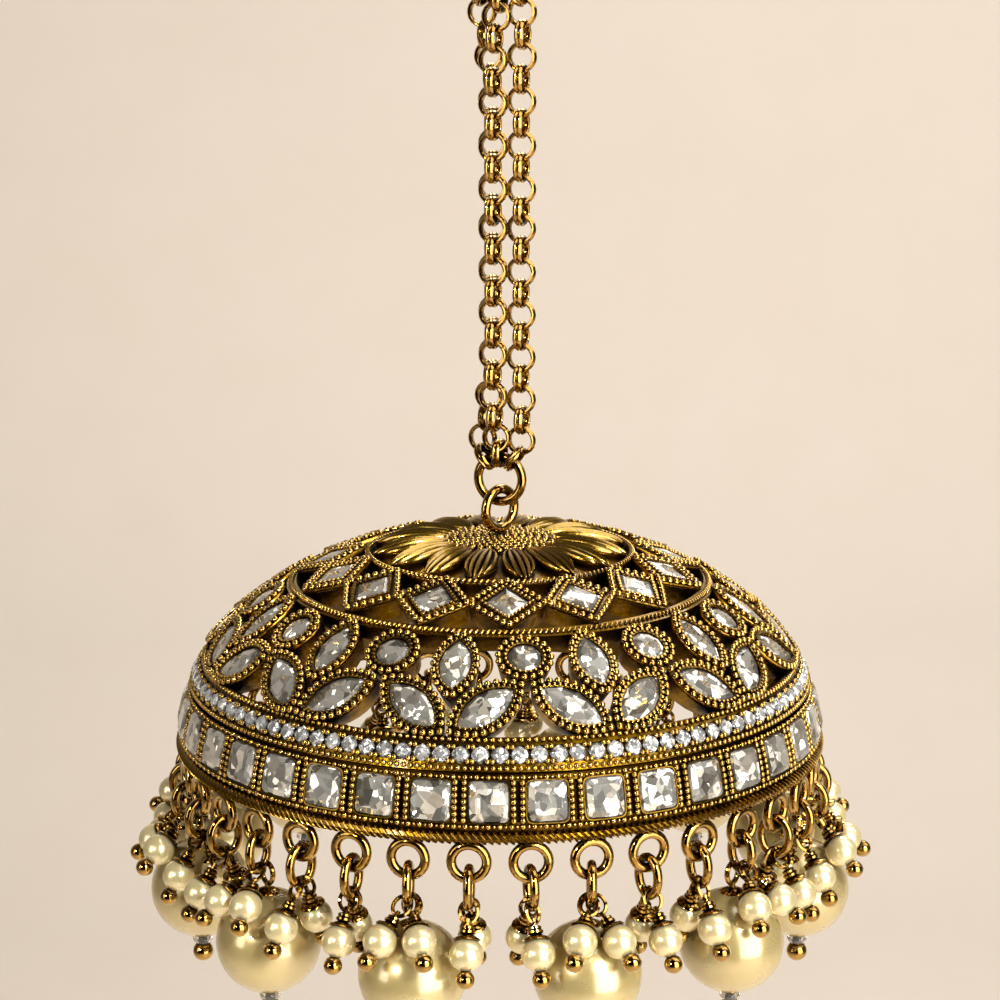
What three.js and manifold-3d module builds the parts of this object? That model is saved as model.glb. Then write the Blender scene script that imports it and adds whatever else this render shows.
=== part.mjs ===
// A bridal kalira: a pierced bell set with stones, hung by a soldered loop from a jump ring on three
// strands of rolo chain, with a fringe of 36 drops on soldered eyelets and 12 large pearls among them.
// Millimetres, +Z up. The origin is the point inside the top ring that bears on the hook or thread.

import * as THREE from 'three';
import { mergeVertices } from 'three/addons/utils/BufferGeometryUtils.js';
import Module from 'manifold-3d';

const wasm = await Module();
wasm.setup();

const turn = Math.PI * 2;
const degree = Math.PI / 180;

// ---------------------------------------------------------------- sizes, with heights from the rim up

const clearance = 0.3;

// The bell's outer surface is half of a flattened ball: a rise of 0 is the rim and of 90 the crown.
const bell = { radius: 31, height: 19.65, lift: 0.6 };

// Courses of the bell, from the rim up. Angles are degrees of rise, and degrees round from the front.
const rim = { foot: -1.75, top: 0.3, proud: -0.2, inside: -1.2 };
const squares = { count: 38, phase: -1.8, foot: 2.9, top: 15.2, bed: -0.45 };
const channel = { foot: 15.9, top: 24.8 };
const lotuses = { count: 12, phase: -9.6, foot: [-6.1, 0, 6.1], top: [-1.6, 1.6, 12.2, 17.8] };
const waist = { foot: 48.6, top: 51.4 };
const lozenges = { count: 15, phase: 2.2, foot: [-1.4, 1.4], top: [-1.6, 1.6] };
const crown = { foot: 65.2, top: 66.4, petals: 16, peak: 0.35, ridge: 0.55, valley: -0.35, boss: 79.5 };
const metalDepth = 2.0;
const stoneProud = 0.45;

// Outlines of the settings of one repeat, as [round, rise] from its middle line, anticlockwise. Where
// two outlines share an edge, the settings are soldered there; where none does, the bell is open.
const petalOutline = [[0, 24.8], [6.1, 24.8], [12.7, 30.1], [15, 34.8], [15, 36.6], [12.2, 37.8],
  [3.4, 34.9], [1.4, 33.6], [0, 27.5]];
const budOutline = [[1.4, 33.6], [3.4, 34.9], [5.2, 41.4], [1.6, 48.6],
  [-1.6, 48.6], [-5.2, 41.4], [-3.4, 34.9], [-1.4, 33.6]];
const roundOutline = [[12.2, 37.8], [15, 36.6], [17.8, 37.8], [21.1, 43.2], [17.8, 48.6], [12.2, 48.6],
  [8.9, 43.2]];
const lozengeOutline = [[-1.4, 51.4], [1.4, 51.4], [12, 57.6], [12, 59.2], [1.6, 65.2], [-1.6, 65.2],
  [-12, 59.2], [-12, 57.6]];

// The stones in those settings: middle as [round, rise], size across and along, and tilt in degrees.
const petalStone = { middle: [6.95, 31.0], across: 2.9, along: 5.8, tilt: -53, sides: 6 };
const budStone = { middle: [0, 41.3], across: 2.8, along: 5.3, tilt: 0, sides: 6 };
const roundStone = { middle: [15, 43.2], across: 3.0, along: 3.1, tilt: 0, sides: 6 };
const lozengeStone = { middle: [0, 58.4], across: 3.6, along: 3.4, tilt: 0, sides: 4 };
const squareStone = { middle: [0, 9.05], across: 4.6, along: 4.6, tilt: 45, sides: 4 };

// Rings of round wire: the radius to the middle of the wire, and the wire's own radius.
const jumpRing = { radius: 2.2, wire: 0.45 };
const crownLoop = { radius: 1.9, wire: 0.45, centre: 22.44 };
const eyelet = { count: 36, phase: -5, radius: 1.65, wire: 0.45, centre: -1.75, out: 30.4 };
const ovalLink = { radius: 2.3, wire: 0.42, narrow: 0.72 };

// Which way the hanging rings face, in degrees from square-on to the front.
const jumpRingTurn = -21;
const crownLoopTurn = 45;

// Rolo chain, whose links touch within a stretch. The first two links at each end of a strand lean with
// the ring's wire, and the strand then runs upright at its own place beside or behind the others. For
// each strand: the lean of those two links, the end link's tip to the back, the height of the second
// link from the ring's middle, and the places across and back of the links after the end one.
const chain = { links: 23, lowerLinks: 12, outer: 1.34, inner: 1.12, band: 0.36, onRing: 0.2 };
const strandHeight = 47.2;
const strands = [
  { name: 'left', lean: [0, 0], tip: 20, second: 4.12, across: [0, -0.15, -0.3], back: [-0.9, -1.0] },
  { name: 'right', lean: [36, 10], tip: -8, second: 3.74, across: [1.95, 2.1], back: [0.5, 0.3, 0.1, 0] },
  { name: 'back', lean: [-36, -10], tip: -8, second: 3.74, across: [-1.95, -1.75, -1.6, -1.45],
    back: [0.5, 0.9, 1.3, 1.6, 1.9] },
];


// Small pearls, two to a drop, at [aside, out from the eyelet, height], each on a straight pin that
// hooks into the oval link. Those of a plain drop hang one before the other. Those that hang by a large
// pearl rest on its front, side by side. No two drops swing quite alike.
const smallPearl = { radius: 1.7, before: [0, 2.4, -9.2], behind: [0.35, -1.3, -9.1], pinFoot: 2.95 };
const restingPearl = { aside: 1.75, out: 3.15, height: -8.1 };
const sway = { before: 0.6, behind: -0.35, resting: 0.2, turn: 2.4 };
const largePearl = { count: 12, every: 3, first: 2, radius: 4.75, out: 29.4, centre: -12.7, sides: 7 };
const headpin = { wire: 0.5, top: -6.3, waist: 0.7, ball: 1.0, end: -20.2 };

// Heights of what hangs one from the other, from the crown loop up to the top ring.
const connectorCentre = crownLoop.centre + crownLoop.radius - crownLoop.wire - clearance
  - jumpRing.wire + jumpRing.radius;
const linkFlat = chain.inner * Math.cos(turn / 12);
const endLinkReach = linkFlat - chain.onRing - jumpRing.wire;
const loosePitch = 2 * linkFlat - clearance;
const topRingCentre = connectorCentre + strandHeight;
const hangingPoint = topRingCentre + jumpRing.radius - jumpRing.wire;

// ---------------------------------------------------------------- solids

function solid(geometry) {
  for (const name of ['normal', 'uv']) geometry.deleteAttribute(name);
  const merged = mergeVertices(geometry, 1e-4);
  const corners = [];
  for (let first = 0; first < merged.index.count; first += 3) {
    const [a, b, c] = merged.index.array.subarray(first, first + 3);
    if (a !== b && b !== c && c !== a) corners.push(a, b, c);
  }
  return new wasm.Manifold(new wasm.Mesh({
    numProp: 3,
    vertProperties: new Float32Array(merged.attributes.position.array),
    triVerts: new Uint32Array(corners),
  }));
}

function join(geometries) {
  const mesh = geometries.map(solid).reduce((whole, piece) => whole.add(piece)).getMesh();
  const geometry = new THREE.BufferGeometry();
  geometry.setAttribute('position', new THREE.BufferAttribute(mesh.vertProperties, 3));
  geometry.setIndex(new THREE.BufferAttribute(mesh.triVerts, 1));
  return geometry;
}

// A solid turned about +Z from [radius, height] points, which run up the outside.
function turned(points, sides, phase = 0) {
  const closed = points[0][0] === 0 ? points : [...points, points[0]];
  const profile = closed.map(([radius, height]) => new THREE.Vector2(radius, height));
  return new THREE.LatheGeometry(profile, sides, phase * degree).rotateX(Math.PI / 2);
}

// A ring of wire that stands in the XZ plane, with `around` flats to the wire and `steps` to the ring.
function wireRing({ radius, wire }, around, steps, start = 90) {
  return new THREE.TorusGeometry(radius, wire, around, steps).rotateZ(start * degree).rotateX(Math.PI / 2);
}

function numbered(count, make) {
  return Array.from({ length: count }, (_, index) => make(index));
}

// ---------------------------------------------------------------- places

function bellRadius(rise) {
  return bell.radius * Math.cos(rise * degree);
}

function bellHeight(rise) {
  return bell.lift + bell.height * Math.sin(rise * degree);
}

// A frame on the bell's surface: X goes round to the right, Y up the slope and Z outwards.
function onBell(rise, around, tilt = 0) {
  const across = new THREE.Vector3(1, 0, 0);
  const outwards = new THREE.Vector3(0, -bellRadius(rise) / bell.radius ** 2,
    (bellHeight(rise) - bell.lift) / bell.height ** 2).normalize();
  const upSlope = new THREE.Vector3().crossVectors(outwards, across);
  const frame = new THREE.Matrix4().makeBasis(across, upSlope, outwards);
  frame.setPosition(0, -bellRadius(rise), bellHeight(rise));
  return new THREE.Matrix4().makeRotationZ(around * degree).multiply(frame)
    .multiply(new THREE.Matrix4().makeRotationZ(tilt * degree));
}

// ---------------------------------------------------------------- the bell

// A place on the bell is [round, rise, proud], with proud measured outwards from the surface.
function pointAt([around, rise, proud = 0]) {
  return new THREE.Vector3(0, 0, proud).applyMatrix4(onBell(rise, around));
}

function mirrored(outline) {
  return outline.map(([around, rise]) => [-around, rise]).reverse();
}

function mirroredStone(stone) {
  const [around, rise] = stone.middle;
  return { ...stone, middle: [-around, rise], tilt: -stone.tilt };
}

// The corners of a stone's outline, anticlockwise, with its real size turned into angles.
function stoneOutline({ middle: [around, rise], across, along, tilt, sides }) {
  const roundStep = bellRadius(rise) * degree;
  const upBell = [bell.radius * Math.sin(rise * degree), bell.height * Math.cos(rise * degree)];
  const riseStep = Math.hypot(...upBell) * degree;
  return numbered(sides, (corner) => {
    const spoke = corner * turn / sides;
    const flat = new THREE.Vector2(-Math.sin(spoke) * across / 2, Math.cos(spoke) * along / 2);
    flat.rotateAround(new THREE.Vector2(), tilt * degree);
    return [around + flat.x / roundStep, rise + flat.y / riseStep];
  });
}

// Triangles that fill an outline, leaving out the hole, as places.
function filled(outline, hole = []) {
  const flat = (places) => places.map(([around, rise]) => new THREE.Vector2(around, rise));
  const places = [...outline, ...[...hole].reverse()];
  const holes = hole.length ? [flat(hole).reverse()] : [];
  return THREE.ShapeUtils.triangulateShape(flat(outline), holes)
    .map((corners) => corners.map((corner) => places[corner]));
}

// Triangles between two rings of places, the lower ring first, zipped together by their angles.
function zipped(lower, upper) {
  const triangles = [];
  const at = (ring, index) => {
    const [around, ...rest] = ring[index % ring.length];
    return [around + 360 * Math.floor(index / ring.length), ...rest];
  };
  let low = 0;
  let high = 0;
  while (low < lower.length || high < upper.length) {
    const [a, b] = [at(lower, low), at(upper, high)];
    const [nextA, nextB] = [at(lower, low + 1), at(upper, high + 1)];
    const takeLow = high >= upper.length || (low < lower.length && nextA[0] <= nextB[0]);
    triangles.push(takeLow ? [a, nextA, b] : [a, nextB, b]);
    if (takeLow) low += 1;
    else high += 1;
  }
  return triangles;
}

// A ring of places at the given angles of every repeat, in order of angle from the first one.
function ringOf(angles, { count, phase }, rise, proud = 0) {
  return numbered(count, (index) => angles.map((angle) => [phase + angle + index * 360 / count, rise, proud]))
    .flat();
}

function squareSides(rise, proud = 0) {
  return ringOf([180 / squares.count], squares, rise, proud);
}

function eyeletSides(proud) {
  return ringOf([0], { count: eyelet.count, phase: 90 / eyelet.count }, rim.foot, proud);
}

function crownSides(rise, proud = 0) {
  return ringOf([0], { count: crown.petals * 2, phase: 0 }, rise, proud);
}

// The settings of all repeats of a course: an outline, the stone's corners and its peak.
function courseOf(settings, { count, phase }) {
  return numbered(count, (index) => settings.map(({ outline, stone }) => {
    const shift = ([around, ...rest]) => [phase + around + index * 360 / count, ...rest];
    return {
      outline: outline.map(shift),
      stone: stoneOutline(stone).map(([around, rise]) => shift([around, rise, outline[0][2]])),
      peak: shift([...stone.middle, stoneProud]),
    };
  })).flat();
}

// The metal round a stone, and the stone's own facets up to its peak.
function setFace({ outline, stone, peak }) {
  const facets = stone.map((corner, index) => [corner, stone[(index + 1) % stone.length], peak]);
  return [...filled(outline, stone), ...facets];
}

const lotusSettings = [
  { outline: petalOutline, stone: petalStone },
  { outline: mirrored(petalOutline), stone: mirroredStone(petalStone) },
  { outline: budOutline, stone: budStone },
  { outline: roundOutline, stone: roundStone },
];

// The pierced part of the bell, from the channel of small stones up to the crown's edge.
function piercedSkin() {
  const settings = [
    ...courseOf(lotusSettings, lotuses),
    ...courseOf([{ outline: lozengeOutline, stone: lozengeStone }], lozenges),
  ];
  const strips = [
    ...zipped(squareSides(channel.foot), ringOf(lotuses.foot, lotuses, channel.top)),
    ...zipped(ringOf(lotuses.top, lotuses, waist.foot), ringOf(lozenges.foot, lozenges, waist.top)),
    ...zipped(ringOf(lozenges.top, lozenges, crown.foot), crownSides(crown.top)),
  ];
  const inside = [...strips, ...settings.flatMap(({ outline }) => filled(outline))];
  const deepen = ([around, rise]) => [around, rise, -metalDepth];
  const alongEdge = ([start, end]) => start[1] === end[1] && [channel.foot, crown.top].includes(start[1]);
  const walls = openEdges(inside).filter((edge) => !alongEdge(edge)).flatMap(([start, end]) => [
    [start, deepen(start), deepen(end)],
    [start, deepen(end), end],
  ]);
  return [
    ...strips,
    ...settings.flatMap(setFace),
    ...inside.map(([a, b, c]) => [deepen(a), deepen(c), deepen(b)]),
    ...walls,
  ];
}

// The edges that only one triangle has, in its own direction.
function openEdges(triangles) {
  const key = ([around, rise]) => `${Math.round((around + 720) * 1e4) % 3600000} ${rise}`;
  const edges = new Map();
  for (const [a, b, c] of triangles) {
    for (const [start, end] of [[a, b], [b, c], [c, a]]) {
      const opposite = `${key(end)} to ${key(start)}`;
      if (!edges.delete(opposite)) edges.set(`${key(start)} to ${key(end)}`, [start, end]);
    }
  }
  return [...edges.values()];
}

// Rope rim and band of square stones, down the outside and up the inside.
function lowerSkin() {
  const half = 180 / squares.count;
  const { foot, top, bed } = squares;
  const bedOutline = [[-half, foot, bed], [half, foot, bed], [half, top, bed], [-half, top, bed]];
  return [
    ...zipped(squareSides(top, bed), squareSides(channel.foot)),
    ...courseOf([{ outline: bedOutline, stone: squareStone }], squares).flatMap(setFace),
    ...zipped(squareSides(rim.top), squareSides(foot, bed)),
    ...zipped(eyeletSides(rim.proud), squareSides(rim.top)),
    ...zipped(eyeletSides(rim.inside), eyeletSides(rim.proud)),
    ...zipped(squareSides(channel.foot, -metalDepth), eyeletSides(rim.inside)),
  ];
}

// The crown: a raised edge, petals as ridges with valleys between them, and a granulated boss.
function crownSkin() {
  const middle = (crown.top + crown.boss) / 2;
  const petalRing = crownSides(middle).map(([around, rise], side) =>
    [around, rise, side % 2 ? crown.ridge : crown.valley]);
  const upTo = (ring, proud) => ring.map((place, side) =>
    [place, ring[(side + 1) % ring.length], [0, 90, proud]]);
  return [
    ...zipped(crownSides(crown.top), petalRing),
    ...zipped(petalRing, crownSides(crown.boss)),
    ...upTo(crownSides(crown.boss), crown.peak),
    ...upTo(crownSides(crown.top, -metalDepth), -metalDepth).map(([a, b, c]) => [a, c, b]),
  ];
}

function bellSkin() {
  const triangles = [...piercedSkin(), ...lowerSkin(), ...crownSkin()];
  return mergeVertices(new THREE.BufferGeometry().setFromPoints(triangles.flat().map(pointAt)), 1e-3);
}

// The turn from the front to an eyelet's place on the rim.
function eyeletTurn(index) {
  return (eyelet.phase + index * 360 / eyelet.count) * degree;
}

function eyeletRing(index) {
  return wireRing(eyelet, 3, 5).translate(0, -eyelet.out, eyelet.centre).rotateZ(eyeletTurn(index));
}

function bellWithLoops() {
  const loop = wireRing(crownLoop, 3, 8).rotateZ(crownLoopTurn * degree).translate(0, 0, crownLoop.centre);
  return join([bellSkin(), ...numbered(eyelet.count, eyeletRing), loop]);
}

// ---------------------------------------------------------------- rings and chain

function hangingRing(centre) {
  return join([wireRing(jumpRing, 3, 12).rotateZ(jumpRingTurn * degree).translate(0, 0, centre)]);
}

// A six-sided link square-on to the rings. Its wire is three-sided, with the ridge inwards.
function chainLink() {
  const wire = (chain.outer - chain.inner) / (1 + Math.cos(turn / 6));
  return new THREE.TorusGeometry(chain.inner + wire, -wire, 3, 6)
    .scale(1, 1, chain.band / (wire * Math.sin(turn / 3))).rotateX(Math.PI / 2);
}

// Links of one strand from its ring, which is below them (upwards 1) or above them (upwards -1).
function strandEnd(strand, ringCentre, count, upwards) {
  const { lean, tip, second, across, back } = strand;
  const pitch = (strandHeight - 2 * second - loosePitch) / (chain.links - 4);
  const endLink = chainLink().rotateZ(Math.PI / 2).translate(0, 0, endLinkReach * upwards)
    .rotateX(tip * upwards * degree).translate(0, 0, jumpRing.radius * upwards)
    .rotateY(lean[0] * upwards * degree);
  const last = (list, index) => list[Math.min(index, list.length - 1)];
  const others = numbered(count - 1, (index) => chainLink().rotateZ((index % 2) * Math.PI / 2)
    .rotateY(index === 0 ? lean[1] * upwards * degree : 0)
    .translate(last(across, index), last(back, index), (second + index * pitch) * upwards));
  return join([endLink, ...others].map((link) =>
    link.rotateZ(jumpRingTurn * degree).translate(0, 0, ringCentre)));
}

// ---------------------------------------------------------------- drops

// A small pearl and its ball end as one form, drawn out at the top to where its pin hooks in.
function smallPearlForm(middle, tip) {
  const foot = middle.clone().sub(tip).setLength(smallPearl.pinFoot).add(middle);
  const corners = numbered(4, (index) => {
    const spoke = (index + 0.5) * turn / 4;
    return new THREE.Vector3(Math.cos(spoke), Math.sin(spoke), 0)
      .multiplyScalar(smallPearl.radius).add(middle);
  });
  const facets = corners.flatMap((corner, index) => {
    const next = corners[(index + 1) % corners.length];
    return [corner, next, tip, next, corner, foot];
  });
  return mergeVertices(new THREE.BufferGeometry().setFromPoints(facets));
}

// Where the two small pearls of a drop hang. A plain drop has a large pearl on one side only.
function smallPearlPlaces(index) {
  const swing = Math.sin(index * sway.turn);
  if (index % largePearl.every === largePearl.first) {
    const { aside, out, height } = restingPearl;
    const shift = swing * sway.resting;
    return [-1, 1].map((side) => [side * aside + shift, out, height + side * shift]);
  }
  const awaySide = index % largePearl.every === 0 ? 1 : -1;
  const [before, behind] = [[...smallPearl.before], [...smallPearl.behind]];
  before[0] += swing * sway.before;
  behind[0] = awaySide * behind[0] + swing * sway.behind;
  return [before, behind];
}

function drop(index) {
  const linkTop = eyelet.centre - (eyelet.radius - eyelet.wire / 2) * Math.cos(turn / 10) + clearance;
  const linkCentre = linkTop - (ovalLink.radius - ovalLink.wire / 2) * Math.SQRT1_2;
  const link = wireRing(ovalLink, 3, 4, 45).scale(ovalLink.narrow, 1, 1).rotateZ(Math.PI / 2)
    .translate(0, -eyelet.out, linkCentre);
  const hook = new THREE.Vector3(0, -eyelet.out, linkCentre - ovalLink.radius * Math.SQRT1_2);
  const pearls = smallPearlPlaces(index).map(([aside, out, height]) =>
    smallPearlForm(new THREE.Vector3(aside, -eyelet.out - out, height), hook));
  return join([link, ...pearls]).rotateZ(eyeletTurn(index));
}

function largePearlDrop(index) {
  const { radius, centre, sides } = largePearl;
  const shoulder = radius * Math.SQRT1_2;
  const profile = [
    [0, headpin.end],
    [headpin.ball, headpin.end + headpin.ball],
    [headpin.waist, centre - radius - headpin.waist / 2],
    [shoulder, centre - shoulder],
    [radius, centre],
    [shoulder, centre + shoulder],
    [headpin.wire, centre + radius],
    [0, headpin.top],
  ];
  const place = largePearl.first + index * largePearl.every;
  return join([turned(profile, sides)]).translate(0, -largePearl.out, 0).rotateZ(eyeletTurn(place));
}

// ---------------------------------------------------------------- the part

const goldPlate = { color: 0xb8924a, roughness: 0.42, metalness: 0.9 };
const brightGold = { color: 0xd9ad57, roughness: 0.28, metalness: 1.0 };
const pearl = { color: 0xeee3c6, roughness: 0.3, metalness: 0.05 };

const group = new THREE.Group();
group.name = 'bridal_kalira';

function addNode(name, geometry, finish) {
  const mesh = new THREE.Mesh(geometry, new THREE.MeshStandardMaterial(finish));
  mesh.name = name;
  mesh.position.z = -hangingPoint;
  group.add(mesh);
}

const twoDigits = (index) => String(index + 1).padStart(2, '0');

addNode('top_ring', hangingRing(topRingCentre), brightGold);
for (const strand of strands) {
  const upperLinks = chain.links - chain.lowerLinks;
  addNode(`chain_${strand.name}_upper`, strandEnd(strand, topRingCentre, upperLinks, -1), brightGold);
  addNode(`chain_${strand.name}_lower`, strandEnd(strand, connectorCentre, chain.lowerLinks, 1), brightGold);
}
addNode('connector_ring', hangingRing(connectorCentre), brightGold);
addNode('bell', bellWithLoops(), goldPlate);
for (let index = 0; index < eyelet.count; index += 1) {
  addNode(`drop_${twoDigits(index)}`, drop(index), pearl);
}
for (let index = 0; index < largePearl.count; index += 1) {
  addNode(`pearl_${twoDigits(index)}`, largePearlDrop(index), pearl);
}

export default group;
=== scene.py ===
# %% [markdown]
# # A bridal kalira, dressed
# A kalira is the domed jewel that hangs from a bride's bangles. This one is a pierced bell of cast
# brass, plated and then darkened so that its recesses stay brown, set with foil-backed glass stones
# and hung on three strands of rolo chain. Below it hangs a fringe of wired pearls. The plain solids
# of the jewel are loaded first. They fix every place and size, and each piece made here stands for
# one or more of them.

# %% The plain solids
from math import atan2, cos, degrees, pi, radians, sin, sqrt
import bmesh
import bpy
import numpy as np
from mathutils import Matrix, Vector


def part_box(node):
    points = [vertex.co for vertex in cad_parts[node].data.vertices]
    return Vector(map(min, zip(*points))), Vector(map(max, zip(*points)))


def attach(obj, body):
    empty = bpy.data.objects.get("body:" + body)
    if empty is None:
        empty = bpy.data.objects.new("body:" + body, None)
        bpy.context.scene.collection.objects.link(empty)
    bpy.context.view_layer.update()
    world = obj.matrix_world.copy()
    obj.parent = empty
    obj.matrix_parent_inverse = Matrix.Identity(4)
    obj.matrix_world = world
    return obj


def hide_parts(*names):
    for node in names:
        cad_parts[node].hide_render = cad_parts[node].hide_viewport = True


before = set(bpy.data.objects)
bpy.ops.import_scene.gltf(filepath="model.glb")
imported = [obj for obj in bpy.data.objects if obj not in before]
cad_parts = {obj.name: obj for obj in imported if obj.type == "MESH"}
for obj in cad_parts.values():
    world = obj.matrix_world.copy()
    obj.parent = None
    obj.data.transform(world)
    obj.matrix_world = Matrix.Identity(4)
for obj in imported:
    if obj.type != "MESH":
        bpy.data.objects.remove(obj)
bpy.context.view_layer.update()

# %% [markdown]
# Jewellery is drawn in millimetres, with heights measured up from the bell's rim, because that is
# how a maker would set out its courses. The finished mesh is in metres and hangs from the top ring,
# so one matrix at the very end takes each mesh there. The bell's half ball starts a lift above its
# rim, and the hanging point is where the top ring bears.

# %% Sizes of the bell
BELL_RADIUS = 31.0
BELL_HEIGHT = 19.65
BELL_LIFT = 0.6
HANGING_POINT = 74.29
TO_FRAME = Matrix.Scale(0.001, 4) @ Matrix.Translation((0, 0, -HANGING_POINT))
bell_low, bell_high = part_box("bell")
print("bell", [round(1000 * side, 1) for side in bell_high - bell_low], "mm")

# %% [markdown]
# The bell's outer surface is half of a flattened ball. A place on it is an angle of rise, 0 at the
# rim and 90 at the crown, and an angle round from the front. `on_bell` gives a small frame there,
# with X going round to the right, Y up the slope and Z outwards, so that a stone or a bead made on
# a flat bench can be set on the bell by one matrix.

# %% Places on the bell
def turned_by(axis, angle):
    """A turn about one axis, in degrees."""
    return Matrix.Rotation(radians(angle), 4, axis)


def surface(rise, proud=0.0):
    """Radius and height of the bell's surface at an angle of rise, moved outwards by proud."""
    radius, height = BELL_RADIUS * cos(radians(rise)), BELL_HEIGHT * sin(radians(rise))
    outwards = Vector((radius / BELL_RADIUS ** 2, height / BELL_HEIGHT ** 2)).normalized()
    return radius + outwards.x * proud, height + BELL_LIFT + outwards.y * proud


def on_bell(rise, around, tilt=0.0, proud=0.0):
    """The frame of a place on the bell."""
    radius, height = surface(rise, proud)
    outwards = Vector((0, -cos(radians(rise)) / BELL_RADIUS, sin(radians(rise)) / BELL_HEIGHT))
    outwards.normalize()
    across = Vector((1, 0, 0))
    bench = Matrix((across, outwards.cross(across), outwards)).transposed().to_4x4()
    bench.translation = (0, -radius, height)
    return turned_by("Z", around) @ bench @ turned_by("Z", tilt)


def round_row(rise, pitch, size, phase=0.0, proud=0.0, tilt=0.0):
    """Places of a row that goes round the bell, at about the given pitch in millimetres."""
    count = round(2 * pi * surface(rise)[0] / pitch)
    return [on_bell(rise, phase + step * 360 / count, tilt, proud) @ Matrix.Scale(size, 4)
            for step in range(count)]


print("surface at the rim and the crown", surface(0), surface(90))

# %% [markdown]
# Hundreds of beads and stones would make hundreds of objects. A caster's wax tree does the same
# job as `gather`: each small shape is made once by bmesh operators, and its corners and faces are
# repeated through a list of places into one mesh. Edges sharper than the crease angle stay sharp.
# Operators may return the same corners and faces in another order on each run, so `settled` puts
# them in one fixed order first.

# %% Many small shapes as one piece
def settled(shape):
    """A shape's points and its faces, as lists of corner numbers, in the same order each run."""
    corners = sorted(shape.verts, key=lambda corner: tuple(round(side, 4) for side in corner.co))
    for number, corner in enumerate(corners):
        corner.index = number
    faces = []
    for face in shape.faces:
        ring = [corner.index for corner in face.verts]
        first = ring.index(min(ring))
        faces.append(ring[first:] + ring[:first])
    return np.array([corner.co for corner in corners]), sorted(faces)


def gather(name, parts, finishes, body, stands_for=(), crease=40):
    """One object from parts, each a (bmesh shape, places in millimetres, number of its finish)."""
    points, corners, sizes, finish = [], [], [], []
    for shape, places, number in parts:
        own_points, own_faces = settled(shape)
        own_corners = np.array([corner for face in own_faces for corner in face])
        own_sizes = np.array([len(face) for face in own_faces])
        shape.free()
        matrices = np.array([TO_FRAME @ place for place in places])
        placed = np.einsum("nij,pj->npi", matrices[:, :3, :3], own_points) + matrices[:, None, :3, 3]
        first = sum(len(group) for group in points)
        shift = first + np.arange(len(places)) * len(own_points)
        points.append(placed.reshape(-1, 3))
        corners.append((own_corners[None, :] + shift[:, None]).ravel())
        sizes.append(np.tile(own_sizes, len(places)))
        finish.append(np.full(len(own_sizes) * len(places), number))
    points, corners, sizes = np.concatenate(points), np.concatenate(corners), np.concatenate(sizes)
    mesh = bpy.data.meshes.new(name)
    mesh.vertices.add(len(points))
    mesh.vertices.foreach_set("co", points.ravel())
    mesh.loops.add(len(corners))
    mesh.loops.foreach_set("vertex_index", corners)
    mesh.polygons.add(len(sizes))
    mesh.polygons.foreach_set("loop_start", np.concatenate([[0], np.cumsum(sizes)[:-1]]))
    mesh.polygons.foreach_set("use_smooth", np.full(len(sizes), True))
    mesh.polygons.foreach_set("material_index", np.concatenate(finish))
    mesh.update(calc_edges=True)
    mesh.validate()
    mesh.set_sharp_from_angle(angle=radians(crease))
    piece = bpy.data.objects.new(name, mesh)
    bpy.context.scene.collection.objects.link(piece)
    for material in finishes:
        mesh.materials.append(material)
    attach(piece, body)
    if stands_for:
        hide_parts(*stands_for)
    print(name, int((sizes - 2).sum()), "triangles")
    return piece


# %% [markdown]
# Round parts, such as the bell's walls and its rings, are spun from an outline, as a lathe or a
# spinning chuck makes them. Set parts are drawn up through rings of one outline, as a collet is
# raised from a strip of metal. `drawn_up` starts from a circle, whose corners keep their own spoke
# angle, and each new ring is extruded from the last and moved to the outline's size and height.

# %% Spun shapes and shapes drawn up through rings
def spun(outline, steps=228):
    """A shape spun about the upright axis from (radius, height) points, closed unless on the axis."""
    shape = bmesh.new()
    corners = [shape.verts.new((radius, 0, height)) for radius, height in outline]
    pairs = list(zip(corners, corners[1:]))
    if outline[0][0] > 0:
        pairs.append((corners[-1], corners[0]))
    edges = [shape.edges.new(pair) for pair in pairs]
    bmesh.ops.spin(shape, geom=corners + edges, cent=(0, 0, 0), axis=(0, 0, 1), angle=2 * pi,
                   steps=steps, use_merge=True, use_duplicate=False)
    bmesh.ops.remove_doubles(shape, verts=shape.verts, dist=1e-4)
    bmesh.ops.recalc_face_normals(shape, faces=shape.faces)
    return shape


def rounded(fullness):
    """An outline between a lozenge (1), an oval (2) and a square with soft corners (7)."""
    def outline(spoke, width, length):
        x, y = cos(spoke), sin(spoke)
        power = 2 / fullness
        return (width / 2 * abs(x) ** power * (1 if x > 0 else -1),
                length / 2 * abs(y) ** power * (1 if y > 0 else -1))
    return outline


def marquise(spoke, width, length):
    """A pointed oval, made of two arcs that meet at its ends."""
    arc = (length ** 2 + width ** 2) / (4 * width)
    y = length / 2 * sin(spoke)
    x = sqrt(arc ** 2 - y ** 2) - arc + width / 2
    return (x if cos(spoke) > 0 else -x), y


def drawn_up(outline, rings, sides=24):
    """A closed shape through rings of (width, length, height), from its foot to its top."""
    shape = bmesh.new()
    spoke = shape.verts.layers.float.new("spoke")
    ring = bmesh.ops.create_circle(shape, segments=sides, radius=1, cap_ends=True)["verts"]
    for corner in ring:
        corner[spoke] = atan2(corner.co.y, corner.co.x)
    edges = list(shape.edges)
    for step, (width, length, height) in enumerate(rings):
        if step:
            grown = bmesh.ops.extrude_edge_only(shape, edges=edges)["geom"]
            ring = [part for part in grown if isinstance(part, bmesh.types.BMVert)]
            edges = [part for part in grown if isinstance(part, bmesh.types.BMEdge)
                     and all(corner in ring for corner in part.verts)]
        for corner in ring:
            corner.co = (*outline(corner[spoke], width, length), height)
    bmesh.ops.contextual_create(shape, geom=edges)
    bmesh.ops.recalc_face_normals(shape, faces=shape.faces)
    return shape


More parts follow.
